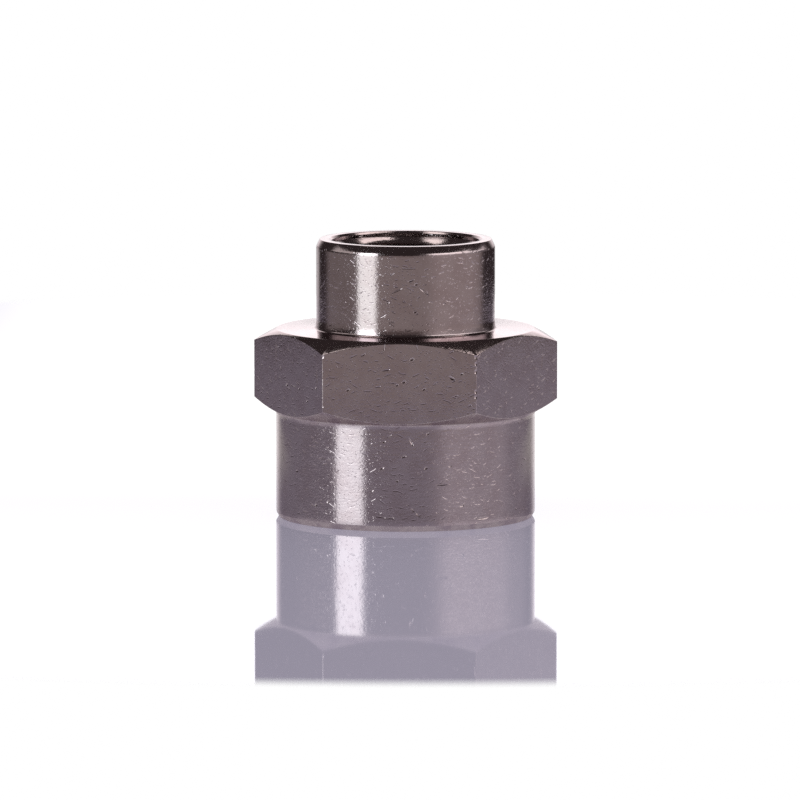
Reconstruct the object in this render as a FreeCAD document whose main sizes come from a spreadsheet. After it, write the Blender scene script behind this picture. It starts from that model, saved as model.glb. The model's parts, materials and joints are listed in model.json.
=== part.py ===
"""Reducing coupling with two female pipe threads, turned from hexagon bar.

The coupling stands on its large end, with its axis along +Z and its origin at
the centre of the large end's face. Two flats of the hexagon face -Y and +Y.
It is one piece of nickel-plated brass, made in the order that a lathe takes:
hexagon bar is turned down at both ends, drilled right through, and bored out
from the large end. Each mouth is countersunk, the small one under a narrow step,
and each rim has its edge broken. The bores stand at the crests of the two
threads. All sizes are in millimetres.
"""

import FreeCAD, Part
import math
import os

import Sketcher

# Driving dimensions: name in the sheet, size, meaning
SIZES = [
    ("LargeBoreDiameter", 19.0, "crests of the large thread, bored to this size"),
    ("LargeEndWall", 2.325, "from the large thread's crests out to the turned large end"),
    ("LargeEndLength", 9.65, "from the large end's face up to the cone under the hexagon"),
    ("FlatStandOut", 0.175, "how far a flat of the hexagon stands out from the large end"),
    ("HexagonLength", 7.55, "from the top of the large end up to the shoulder"),
    ("UnderChamferAngle", 30.0, "slope of the cone under the hexagon, in degrees"),
    ("ShoulderChamferAngle", 29.0, "slope of the chamfer on top of the hexagon, in degrees"),
    ("ShoulderInset", 0.25, "from a flat in to the circle where the top chamfer starts"),
    ("SmallEndLength", 8.2, "from the shoulder up to the small end's face"),
    ("SmallBoreDiameter", 11.8, "crests of the small thread, drilled to this size"),
    ("SmallEndWall", 2.25, "from the small thread's crests out to the turned small end"),
    ("ShoulderFillet", 0.15, "root of the small end on the shoulder"),
    ("StepUnderShoulder", 3.7, "from the shoulder down to where the large bore starts to close"),
    ("DrillPointAngle", 118.0, "cone between the bores, side to side, in degrees"),
    ("CountersinkAngle", 90.0, "both countersinks, side to side, in degrees"),
    ("LargeSinkWidth", 1.35, "large countersink, across the end face"),
    ("SmallSinkWidth", 1.075, "small countersink with its step, across the end face"),
    ("SmallMouthBevel", 0.21, "bevel that opens the small mouth, along the axis and across"),
    ("SmallMouthStep", 0.28, "straight step between that bevel and the countersink"),
    ("LargeRimHeight", 0.5, "broken edge of the large end, along the axis"),
    ("LargeRimWidth", 0.28, "broken edge of the large end, across its face"),
    ("SmallRimHeight", 0.7, "broken edge of the small end, along the axis"),
    ("SmallRimWidth", 0.33, "broken edge of the small end, across its face"),
]

# The turning cuts run this far out past the bar's corners
CUTTER_OVERRUN = 1.0
# An edge is taken to be the one looked for if its radius and height match this closely
EDGE_MATCH = 0.001

# Places that follow from the driving dimensions
LARGE_RADIUS = "(Sizes.LargeBoreDiameter / 2 + Sizes.LargeEndWall)"
SMALL_RADIUS = "(Sizes.SmallBoreDiameter / 2 + Sizes.SmallEndWall)"
FLAT_DISTANCE = f"({LARGE_RADIUS} + Sizes.FlatStandOut)"
CLEAR_RADIUS = f"({FLAT_DISTANCE} / cos(30) + {CUTTER_OVERRUN})"
SHOULDER_RADIUS = f"({FLAT_DISTANCE} - Sizes.ShoulderInset)"
SHOULDER_HEIGHT = "(Sizes.LargeEndLength + Sizes.HexagonLength)"
OVERALL_LENGTH = f"({SHOULDER_HEIGHT} + Sizes.SmallEndLength)"
UNDER_CONE_RISE = f"({CLEAR_RADIUS} - {LARGE_RADIUS}) * tan(Sizes.UnderChamferAngle)"
TOP_CONE_DROP = f"({CLEAR_RADIUS} - {SHOULDER_RADIUS}) * tan(Sizes.ShoulderChamferAngle)"
SMALL_BORE_RADIUS = "(Sizes.SmallBoreDiameter / 2)"
SMALL_MOUTH_RADIUS = f"({SMALL_BORE_RADIUS} + Sizes.SmallSinkWidth)"
MOUTH_STEP_RADIUS = f"({SMALL_MOUTH_RADIUS} - Sizes.SmallMouthBevel)"
MOUTH_STEP_TOP = f"({OVERALL_LENGTH} - Sizes.SmallMouthBevel)"
MOUTH_STEP_FOOT = f"({MOUTH_STEP_TOP} - Sizes.SmallMouthStep)"
SMALL_SINK_DEPTH = f"({MOUTH_STEP_RADIUS} - {SMALL_BORE_RADIUS}) / tan(Sizes.CountersinkAngle / 2)"


def make_sheet(doc):
    """The spreadsheet of driving dimensions, one named cell to a row."""
    sheet = doc.addObject("Spreadsheet::Sheet", "Sizes")
    for row, (name, size, meaning) in enumerate(SIZES, start=1):
        sheet.set(f"A{row}", name)
        sheet.set(f"B{row}", str(size))
        sheet.set(f"C{row}", meaning)
        sheet.setAlias(f"B{row}", name)
    doc.recompute()
    return sheet


def value_of(body, expression):
    """What an expression comes to with the sheet's present sizes."""
    value = body.evalExpression(expression)
    return float(getattr(value, "Value", value))


def origin_feature(body, role):
    """One of the body's own origin planes or axes."""
    return next(item for item in body.Origin.OriginFeatures if item.Role == role)


def new_sketch(body, name, plane):
    """An empty sketch on one of the body's own origin planes."""
    sketch = body.newObject("Sketcher::SketchObject", name)
    sketch.AttachmentSupport = [(origin_feature(body, plane), "")]
    sketch.MapMode = "FlatFace"
    return sketch


def tie_corner(sketch, line, corner, kind, axis, expression, place):
    """Hold one corner on a sketch axis, or at a named distance that follows the sheet."""
    if expression == "0":
        sketch.addConstraint(Sketcher.Constraint("PointOnObject", line, 1, axis))
        return
    number = sketch.addConstraint(Sketcher.Constraint(kind, -1, 1, line, 1, place))
    sketch.renameConstraint(number, corner)
    sketch.setExpression(f"Constraints.{corner}", expression)


def turning_sketch(body, name, corners):
    """The half section that a turning cut takes away, as a closed outline in the XZ plane.

    Each corner is its name, its distance from the axis and its height.
    """
    sketch = new_sketch(body, name, "XZ_Plane")
    places = [(value_of(body, across), value_of(body, up)) for _, across, up in corners]
    for line, (here, there) in enumerate(zip(places, places[1:] + places[:1])):
        start = FreeCAD.Vector(*here, 0)
        end = FreeCAD.Vector(*there, 0)
        sketch.addGeometry(Part.LineSegment(start, end))
    for line in range(len(corners)):
        following = (line + 1) % len(corners)
        sketch.addConstraint(Sketcher.Constraint("Coincident", line, 2, following, 1))
    for line, (corner, across, up) in enumerate(corners):
        tie_corner(sketch, line, f"{corner}Radius", "DistanceX", -2, across, places[line][0])
        tie_corner(sketch, line, f"{corner}Height", "DistanceY", -1, up, places[line][1])
    return sketch


def turn_away(body, name, sketch):
    """Turn a closed outline about the axis and take it from the body."""
    groove = body.newObject("PartDesign::Groove", name)
    groove.Profile = sketch
    groove.ReferenceAxis = (origin_feature(body, "Z_Axis"), [""])
    groove.Angle = 360
    return groove


def hexagon_sketch(body):
    """The bar's section: six equal sides on a construction circle, two of them along X."""
    sketch = new_sketch(body, "HexagonSection", "XY_Plane")
    flat = value_of(body, FLAT_DISTANCE)
    corner_radius = flat / math.cos(math.radians(30))
    corners = [
        FreeCAD.Vector(corner_radius * math.cos(turn), corner_radius * math.sin(turn), 0)
        for turn in (math.radians(60 * side) for side in range(6))
    ]
    for side in range(6):
        sketch.addGeometry(Part.LineSegment(corners[side], corners[(side + 1) % 6]))
    circle = sketch.addGeometry(
        Part.Circle(FreeCAD.Vector(0, 0, 0), FreeCAD.Vector(0, 0, 1), corner_radius), True
    )
    sketch.addConstraint(Sketcher.Constraint("Coincident", circle, 3, -1, 1))
    sketch.addConstraint(Sketcher.Constraint("PointOnObject", 0, 1, -1))
    for side in range(6):
        following = (side + 1) % 6
        sketch.addConstraint(Sketcher.Constraint("Coincident", side, 2, following, 1))
        sketch.addConstraint(Sketcher.Constraint("PointOnObject", side, 1, circle))
        if side:
            sketch.addConstraint(Sketcher.Constraint("Equal", 0, side))
    number = sketch.addConstraint(Sketcher.Constraint("DistanceY", -1, 1, 1, 1, flat))
    sketch.renameConstraint(number, "FlatDistance")
    sketch.setExpression("Constraints.FlatDistance", FLAT_DISTANCE)
    return sketch


def cut_bar(body):
    """The length of hexagon bar that the coupling is turned from."""
    bar = body.newObject("PartDesign::Pad", "HexagonBar")
    bar.Profile = hexagon_sketch(body)
    bar.setExpression("Length", OVERALL_LENGTH)
    return bar


def turn_large_end(body):
    """The large end turned round up to the hexagon, with its rim broken and a cone above it."""
    outline = turning_sketch(
        body,
        "LargeEndTurning",
        [
            ("RimFace", f"{LARGE_RADIUS} - Sizes.LargeRimWidth", "0"),
            ("RimSide", LARGE_RADIUS, "Sizes.LargeRimHeight"),
            ("Root", LARGE_RADIUS, "Sizes.LargeEndLength"),
            ("ConeEnd", CLEAR_RADIUS, f"Sizes.LargeEndLength + {UNDER_CONE_RISE}"),
            ("Outside", CLEAR_RADIUS, "0"),
        ],
    )
    return turn_away(body, "LargeEnd", outline)


def turn_small_end(body):
    """The small end turned down to the flat shoulder, with the hexagon chamfered below it."""
    outline = turning_sketch(
        body,
        "SmallEndTurning",
        [
            ("RimFace", f"{SMALL_RADIUS} - Sizes.SmallRimWidth", OVERALL_LENGTH),
            ("RimSide", SMALL_RADIUS, f"{OVERALL_LENGTH} - Sizes.SmallRimHeight"),
            ("Root", SMALL_RADIUS, SHOULDER_HEIGHT),
            ("Shoulder", SHOULDER_RADIUS, SHOULDER_HEIGHT),
            ("ConeEnd", CLEAR_RADIUS, f"{SHOULDER_HEIGHT} - {TOP_CONE_DROP}"),
            ("Outside", CLEAR_RADIUS, OVERALL_LENGTH),
        ],
    )
    return turn_away(body, "SmallEnd", outline)


def fillet_root(doc, body, turned):
    """The small radius that the tool leaves where the small end meets the shoulder."""
    doc.recompute()
    edge = ring_edge(turned, value_of(body, SMALL_RADIUS), value_of(body, SHOULDER_HEIGHT))
    fillet = body.newObject("PartDesign::Fillet", "RootFillet")
    fillet.Base = (turned, [edge])
    fillet.setExpression("Radius", "Sizes.ShoulderFillet")
    return fillet


def ring_edge(feature, radius, height):
    """The name of the feature's round edge of this radius at this height."""
    for number, edge in enumerate(feature.Shape.Edges, start=1):
        if not isinstance(edge.Curve, Part.Circle):
            continue
        same_radius = abs(edge.Curve.Radius - radius) < EDGE_MATCH
        same_height = abs(edge.Curve.Center.z - height) < EDGE_MATCH
        if same_radius and same_height:
            return f"Edge{number}"
    raise ValueError(f"no round edge of radius {radius} at height {height}")


def mouth_sketch(body, name, diameter, height):
    """A circle on the axis at an end face, as the place for a bore."""
    sketch = new_sketch(body, name, "XY_Plane")
    radius = value_of(body, diameter) / 2
    sketch.addGeometry(Part.Circle(FreeCAD.Vector(0, 0, 0), FreeCAD.Vector(0, 0, 1), radius))
    sketch.addConstraint(Sketcher.Constraint("Coincident", 0, 3, -1, 1))
    number = sketch.addConstraint(Sketcher.Constraint("Diameter", 0, 2 * radius))
    sketch.renameConstraint(number, "Bore")
    sketch.setExpression("Constraints.Bore", diameter)
    sketch.setExpression("AttachmentOffset.Base.z", height)
    return sketch


def bore(doc, body, name, sketch, diameter):
    """A plain bore from an end face, ready for its depth to be set."""
    doc.recompute()
    hole = body.newObject("PartDesign::Hole", name)
    hole.Profile = sketch
    doc.recompute()
    hole.setExpression("Diameter", diameter)
    return hole


def drill_small_bore(doc, body):
    """The small bore, drilled from the small end's face right through."""
    diameter = "Sizes.SmallBoreDiameter"
    sketch = mouth_sketch(body, "SmallMouth", diameter, OVERALL_LENGTH)
    hole = bore(doc, body, "SmallBore", sketch, diameter)
    hole.DepthType = "ThroughAll"
    return hole


def open_small_mouth(body):
    """The small mouth: a bevel, a straight step under it and the countersink down to the bore."""
    outline = turning_sketch(
        body,
        "SmallMouthTurning",
        [
            ("MouthEdge", SMALL_MOUTH_RADIUS, OVERALL_LENGTH),
            ("StepTop", MOUTH_STEP_RADIUS, MOUTH_STEP_TOP),
            ("StepFoot", MOUTH_STEP_RADIUS, MOUTH_STEP_FOOT),
            ("SinkFoot", SMALL_BORE_RADIUS, f"{MOUTH_STEP_FOOT} - {SMALL_SINK_DEPTH}"),
            ("AxisFoot", "0", f"{MOUTH_STEP_FOOT} - {SMALL_SINK_DEPTH}"),
            ("AxisTop", "0", OVERALL_LENGTH),
        ],
    )
    return turn_away(body, "SmallMouthOpening", outline)


def bore_large_end(doc, body):
    """The large bore, up from the large end's face to a drill-point cone that meets the small one."""
    diameter = "Sizes.LargeBoreDiameter"
    sketch = mouth_sketch(body, "LargeMouth", diameter, "0")
    hole = bore(doc, body, "LargeBore", sketch, diameter)
    hole.Reversed = True
    hole.HoleCutType = "Countersink"
    hole.HoleCutCustomValues = True
    hole.setExpression("HoleCutDiameter", f"{diameter} + 2 * Sizes.LargeSinkWidth")
    hole.setExpression("HoleCutCountersinkAngle", "Sizes.CountersinkAngle")
    hole.DepthType = "Dimension"
    hole.setExpression("Depth", f"{SHOULDER_HEIGHT} - Sizes.StepUnderShoulder")
    hole.DrillPoint = "Angled"
    hole.DrillForDepth = False
    hole.setExpression("DrillPointAngle", "Sizes.DrillPointAngle")
    return hole


def make_coupling(doc):
    """The whole coupling: one body, in the order that a lathe makes it."""
    body = doc.addObject("PartDesign::Body", "CouplingBody")
    body.Label = "coupling_body"
    cut_bar(body)
    turn_large_end(body)
    turned = turn_small_end(body)
    fillet_root(doc, body, turned)
    drill_small_bore(doc, body)
    open_small_mouth(body)
    bore_large_end(doc, body)
    body.Placement = FreeCAD.Placement()
    doc.recompute()
    return body


def check(doc, bodies):
    """Stop if any object failed to build or any body is not one sound solid."""
    for item in doc.Objects:
        if "Invalid" in item.State or "Error" in item.State:
            raise RuntimeError(f"{item.Label} did not build: {item.State}")
    for body in bodies:
        if body.Shape.isNull() or not body.Shape.isValid() or len(body.Shape.Solids) != 1:
            raise RuntimeError(f"{body.Label} is not one sound solid")


def main():
    """Build the document, check it and write each sub-part."""
    doc = FreeCAD.newDocument("ReducingCoupling")
    make_sheet(doc)
    bodies = [make_coupling(doc)]
    check(doc, bodies)
    os.makedirs("parts", exist_ok=True)
    for body in bodies:
        body.Shape.exportStep(f"parts/{body.Label}.step")
        box = body.Shape.BoundBox
        print(body.Label, "volume", round(body.Shape.Volume, 2), "mm3, box", box)


main()
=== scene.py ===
"""Dresses the reducing coupling: nickel-plated brass with two real pipe threads.

The body is turned from hexagon bar as on a lathe: its section is carried round
as rings, six flats are milled, the edges are broken and both ports are tapped.
Small knocks from handling are cut into it as real dents, and the plating has
its grain, turning marks and fine scratches in the material. The coupling
stands on a pale glossy floor in soft studio light. Sizes are in metres unless
a name says otherwise.
"""

import json
import logging
import math
import random
from collections.abc import Callable
from dataclasses import dataclass
from enum import Enum

import bpy
from bpy.types import Material, Mesh, MeshPolygon, Node, NodeSocket, NodeTree, Object
from mathutils import Matrix, Vector

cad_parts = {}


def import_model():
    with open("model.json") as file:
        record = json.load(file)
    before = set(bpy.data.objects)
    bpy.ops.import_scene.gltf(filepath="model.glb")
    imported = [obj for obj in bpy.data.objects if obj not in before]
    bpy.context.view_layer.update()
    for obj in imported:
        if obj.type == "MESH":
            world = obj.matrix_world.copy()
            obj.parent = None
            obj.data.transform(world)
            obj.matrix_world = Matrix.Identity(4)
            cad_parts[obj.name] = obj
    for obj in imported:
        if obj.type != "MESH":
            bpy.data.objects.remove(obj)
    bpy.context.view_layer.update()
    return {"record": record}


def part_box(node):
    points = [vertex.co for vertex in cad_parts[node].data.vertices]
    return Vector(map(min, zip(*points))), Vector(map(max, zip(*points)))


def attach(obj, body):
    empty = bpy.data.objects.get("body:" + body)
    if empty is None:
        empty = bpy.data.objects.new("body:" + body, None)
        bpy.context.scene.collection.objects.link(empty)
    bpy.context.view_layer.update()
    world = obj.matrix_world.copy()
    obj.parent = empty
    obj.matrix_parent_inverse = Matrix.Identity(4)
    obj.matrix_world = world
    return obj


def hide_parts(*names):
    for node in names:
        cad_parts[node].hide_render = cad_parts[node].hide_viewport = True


MM = 0.001
NODE = "coupling_body"
PIECE = "reducing_coupling"
BODY = "root"
# Two places are the same if they are this close
CLOSE = 0.0005 * MM
# Two points are merged if they are this close
MERGED = CLOSE / 5
# The hexagon's sides, and how many degrees there are from one to the next
SIDES = 6
SIDE_TURN = 60.0

log = logging.getLogger("coupling")


class Zone(Enum):
    """Which tool left a face of the coupling, and so which finish it wears."""

    TURNED = 0
    FLAT = 1
    THREAD = 2
    # Faces that look up: their finish dims and tints its glancing reflection, a painted shade
    TOP = 3
    # Faces that look down: their finish is rougher, and painted lighter as painted light
    UNDER = 4


# Modelling helpers


def deselect_all() -> None:
    """Leave nothing selected, so that the next operator acts on its own piece alone."""
    for item in bpy.context.selected_objects:
        item.select_set(False)


def make_active(piece: Object) -> None:
    """Select one piece alone and make it active.

    Args:
        piece: the object that the next operator works on.
    """
    deselect_all()
    piece.select_set(True)
    bpy.context.view_layer.objects.active = piece


def start_editing(piece: Object, element: str = "VERT") -> None:
    """Enter edit mode on one piece.

    Args:
        piece: the mesh object to edit.
        element: what is selected, VERT, EDGE or FACE.
    """
    make_active(piece)
    bpy.ops.object.mode_set(mode="EDIT")
    bpy.ops.mesh.select_mode(type=element)


def stop_editing() -> None:
    """Go back to object mode."""
    bpy.ops.object.mode_set(mode="OBJECT")


def clear_selection(mesh: Mesh) -> None:
    """Deselect every point, edge and face of a mesh in object mode."""
    for parts in (mesh.vertices, mesh.edges, mesh.polygons):
        parts.foreach_set("select", [False] * len(parts))


def select_edges(piece: Object, chosen: Callable[[Vector, Vector], bool]) -> None:
    """Start editing with only the edges selected whose two ends pass a test.

    Args:
        piece: the mesh object.
        chosen: says of an edge's two ends whether the edge is wanted.
    """
    mesh = piece.data
    clear_selection(mesh)
    places = [point.co.copy() for point in mesh.vertices]
    for edge in mesh.edges:
        first, second = edge.vertices
        edge.select = chosen(places[first], places[second])
    start_editing(piece, "EDGE")


def tidy_shell(piece: Object) -> None:
    """Merge doubled points of a closed shell and turn its faces outwards."""
    start_editing(piece)
    bpy.ops.mesh.select_all(action="SELECT")
    bpy.ops.mesh.remove_doubles(threshold=MERGED)
    bpy.ops.mesh.normals_make_consistent(inside=False)
    stop_editing()


def settle(piece: Object) -> None:
    """Put a piece's place into its mesh, with the object at the origin."""
    make_active(piece)
    bpy.ops.object.transform_apply(location=True, rotation=True, scale=True)


def combine(piece: Object, other: Object, operation: str) -> None:
    """Cut, join or keep what two solids share, and use the second one up.

    Args:
        piece: the solid that is changed.
        other: the solid that changes it, deleted afterwards.
        operation: DIFFERENCE, UNION or INTERSECT.
    """
    make_active(piece)
    modifier = piece.modifiers.new("Combine", "BOOLEAN")
    modifier.operation = operation
    modifier.object = other
    modifier.solver = "MANIFOLD"
    bpy.ops.object.modifier_apply(modifier=modifier.name)
    bpy.data.objects.remove(other)


def round_about(degrees: float) -> Vector:
    """The level direction this far round from the front, to the right as seen from there."""
    turn = math.radians(degrees)
    return Vector((math.sin(turn), -math.cos(turn), 0.0))


# Which way the hexagon's flats face, from the front one on
FLAT_DIRECTIONS = tuple(round_about(SIDE_TURN * side) for side in range(SIDES))


# Threads

# A circle of three points and radius 1 is a triangle with this height and this side
TRIANGLE_HEIGHT = 1.5
TRIANGLE_SIDE = math.sqrt(3)
# How many turns the grooves run past the mouths, and how many the large one takes to run out
TURNS_PAST_MOUTH = 1.5
LEAD_TURNS = 2


@dataclass(frozen=True)
class PipeThread:
    """A parallel right-hand pipe thread with 55 degree flanks, as a tap cuts it.

    Attributes:
        pitch: from one turn to the next.
        root_radius: out to the bottom of the groove.
        crest_radius: the bore that the thread is cut in.
        half_flank_degrees: from a flank to the groove's middle plane.
        apex_share: how far past the bottom the flanks would meet, as a share of the pitch.
        root_round_share: radius of the rounded bottom, as a share of the pitch.
        inside_bore: how far the groove's solid reaches into the open bore.
        steps: how many parts there are to a turn.
        root_segments: how many parts there are to the rounded bottom.
    """

    pitch: float
    root_radius: float
    crest_radius: float
    half_flank_degrees: float = 27.5
    apex_share: float = 0.960491 / 6
    root_round_share: float = 0.137329
    inside_bore: float = 0.15 * MM
    steps: int = 96
    root_segments: int = 4

    def groove_section(self, height: float) -> Object:
        """The groove's section on the XZ plane: a triangle whose tip is rounded.

        Args:
            height: where the groove's middle is.

        Returns:
            The flat section, ready to be carried round the axis.
        """
        apex = self.root_radius + self.apex_share * self.pitch
        inner = self.crest_radius - self.inside_bore
        reach = apex - inner
        half_flank = math.radians(self.half_flank_degrees)
        bpy.ops.mesh.primitive_circle_add(
            vertices=3, radius=1.0, fill_type="NGON", rotation=(math.pi / 2, math.pi / 2, 0.0)
        )
        section = bpy.context.object
        section.name = "thread_groove"
        settle(section)
        start_editing(section)
        bpy.ops.mesh.select_all(action="SELECT")
        width = 2 * reach * math.tan(half_flank)
        stretch = (reach / TRIANGLE_HEIGHT, 1.0, width / TRIANGLE_SIDE)
        bpy.ops.transform.resize(value=stretch, center_override=(0.0, 0.0, 0.0))
        bpy.ops.transform.translate(value=(inner + reach / 3, 0.0, height))
        stop_editing()
        mesh = section.data
        clear_selection(mesh)
        tip = max(mesh.vertices, key=lambda point: point.co.x)
        tip.select = True
        start_editing(section)
        rounding = self.root_round_share * self.pitch / math.tan(half_flank)
        bpy.ops.mesh.bevel(offset=rounding, segments=self.root_segments, affect="VERTICES")
        stop_editing()
        return section

    def coil(self, low: float, high: float) -> Object:
        """A right-hand coil of the groove's section, closed at both ends.

        Args:
            low: where the first turn starts.
            high: the height that the last turn reaches at least.

        Returns:
            The coil as a closed solid.
        """
        coil = self.groove_section(low)
        make_active(coil)
        screw = coil.modifiers.new("Screw", "SCREW")
        screw.axis = "Z"
        screw.steps = self.steps
        screw.render_steps = self.steps
        screw.iterations = math.ceil((high - low) / self.pitch)
        screw.screw_offset = self.pitch
        bpy.ops.object.modifier_apply(modifier=screw.name)
        start_editing(coil, "EDGE")
        bpy.ops.mesh.select_all(action="DESELECT")
        bpy.ops.mesh.select_non_manifold()
        bpy.ops.mesh.edge_face_add()
        stop_editing()
        tidy_shell(coil)
        return coil


@dataclass(frozen=True)
class Tap:
    """What a tap sweeps from below: a straight cylinder with a tapered lead at its inner end.

    Attributes:
        thread: that the tap cuts.
        full_depth: height up to which the thread is cut in full.
        lead: how far the taper reaches past that.
        spare: how much wider than the groove the cylinder is.
        turns_outside: how far below the floor the cylinder starts, in turns.
        steps: how many sides the cylinder has.
    """

    thread: PipeThread
    full_depth: float
    lead: float
    spare: float = 0.1 * MM
    turns_outside: float = 2.0
    steps: int = 192

    def envelope(self) -> Object:
        """The swept solid.

        Returns:
            A closed solid of revolution that limits how deep the groove goes.
        """
        radius = self.thread.root_radius + self.spare
        low = -self.turns_outside * self.thread.pitch
        bpy.ops.mesh.primitive_cylinder_add(
            vertices=self.steps,
            radius=radius,
            depth=self.full_depth - low,
            location=(0.0, 0.0, (self.full_depth + low) / 2),
        )
        envelope = bpy.context.object
        envelope.name = "tap_envelope"
        settle(envelope)
        select_edges(envelope, lambda one, two: min(one.z, two.z) > self.full_depth - CLOSE)
        bpy.ops.mesh.select_mode(type="FACE")
        bpy.ops.mesh.extrude_region_move(TRANSFORM_OT_translate={"value": (0.0, 0.0, self.lead)})
        shrink = (self.thread.crest_radius - self.thread.inside_bore) / radius
        bpy.ops.transform.resize(value=(shrink, shrink, 1.0), center_override=(0.0, 0.0, 0.0))
        stop_editing()
        return envelope


# Dents


@dataclass(frozen=True)
class Nick:
    """One small dent in the surface.

    Attributes:
        around: degrees from the front, towards the right as seen from there.
        height: above the floor, in millimetres.
        length: along the dent, in millimetres.
        lean: degrees that the dent rises to the right.
        width: across the dent, in millimetres.
        depth: below the surface, in millimetres.
    """

    around: float
    height: float
    length: float
    lean: float
    width: float = 0.19
    depth: float = 0.035


PIT_LEAN = 25.0
PIT_NARROWNESS = 0.7
PIT_DEPTH_SHARE = 0.12
SCRATCH_WIDTH = 0.12
SCRATCH_DEPTH = 0.03
# A place on the surface: degrees round from the front, and height in millimetres
Spot = tuple[float, float]


def pit(around: float, height: float, size: float = 0.33) -> Nick:
    """A small round pit, as a knock by a corner leaves it."""
    return Nick(around, height, size, PIT_LEAN, PIT_NARROWNESS * size, PIT_DEPTH_SHARE * size)


def scratch(around: float, height: float, length: float, lean: float) -> Nick:
    """A fine long scratch."""
    return Nick(around, height, length, lean, SCRATCH_WIDTH, SCRATCH_DEPTH)


LARGE_END_NICKS = (
    Nick(5.1, 8.2, 0.92, -63.0, 0.22, 0.075),
    Nick(2.0, 6.85, 0.52, 25.0, 0.21, 0.06),
    pit(-7.6, 5.8, 0.43),
    pit(11.6, 5.8, 0.41),
    Nick(22.5, 5.9, 0.4, 10.0),
    Nick(18.8, 4.25, 1.15, 0.0, 0.18, 0.06),
    Nick(5.9, 2.0, 0.6, -45.0),
    Nick(8.1, 1.55, 0.6, -45.0),
    Nick(-8.5, 1.35, 1.09, -8.0, 0.16, 0.045),
    Nick(-4.5, 1.25, 1.03, 5.0, 0.16, 0.045),
    pit(-1.0, 4.65),
    Nick(-12.1, 3.7, 0.4, 30.0),
    Nick(28.2, 2.25, 0.52, 15.0, 0.26, 0.06),
    pit(-6.7, 8.2),
    pit(12.5, 8.9, 0.38),
    pit(-53.5, 4.9, 0.41),
    pit(-40.5, 2.05, 0.38),
    pit(-33.6, 2.45, 0.36),
    Nick(38.9, 1.0, 1.44, 3.0, 0.36, 0.075),
)

SMALL_END_NICKS = (
    Nick(-2.7, 21.45, 1.15, 27.0, 0.17, 0.053),
    Nick(14.5, 21.35, 1.15, -38.0, 0.17, 0.053),
    Nick(6.1, 22.35, 0.69, 20.0, 0.2, 0.053),
    pit(9.3, 22.05, 0.41),
    scratch(4.9, 23.45, 1.8, 0.0),
    pit(-8.5, 20.35),
    pit(27.9, 20.2),
    pit(45.6, 21.55, 0.41),
    pit(-45.9, 23.05),
    pit(8.7, 19.55, 0.38),
)

HEXAGON_NICKS = (
    Nick(-15.2, 16.05, 0.55, 30.0),
    Nick(-5.7, 14.7, 0.8, 12.0, 0.18, 0.053),
    pit(5.4, 15.7, 0.46),
    Nick(21.5, 14.0, 0.69, -30.0, 0.34, 0.075),
    pit(25.1, 14.4, 0.38),
    pit(2.0, 13.65, 0.43),
    pit(-1.0, 13.35, 0.36),
    Nick(23.0, 12.4, 0.4, 20.0),
    pit(10.5, 13.0, 0.38),
    pit(-21.0, 12.9, 0.41),
    scratch(-6.5, 16.7, 0.8, 80.0),
    scratch(7.6, 16.7, 0.7, -80.0),
    scratch(-71.3, 15.5, 2.6, 90.0),
    scratch(-71.4, 13.1, 0.9, 90.0),
    scratch(-33.9, 14.1, 2.1, 90.0),
    pit(-60.8, 12.6, 0.41),
    pit(-49.3, 12.5),
    pit(-34.6, 12.9, 0.38),
    pit(-42.1, 11.55),
    scratch(79.5, 14.4, 1.5, 85.0),
    Nick(42.5, 14.35, 0.4, 15.0),
    Nick(54.9, 13.8, 0.4, 10.0),
    pit(70.3, 12.2),
    pit(77.3, 12.0),
    Nick(50.9, 11.3, 0.4, -20.0),
    pit(46.3, 11.0),
    Nick(29.9, 15.9, 0.46, 90.0, 0.39, 0.09),
    Nick(29.9, 15.3, 0.4, 90.0, 0.33, 0.075),
    Nick(29.9, 14.6, 0.52, 90.0, 0.36, 0.09),
    Nick(29.9, 12.8, 0.46, 90.0, 0.34, 0.075),
    Nick(29.9, 12.3, 0.4, 90.0, 0.39, 0.09),
    Nick(-29.9, 15.85, 0.46, 60.0, 0.34, 0.075),
)


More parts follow.
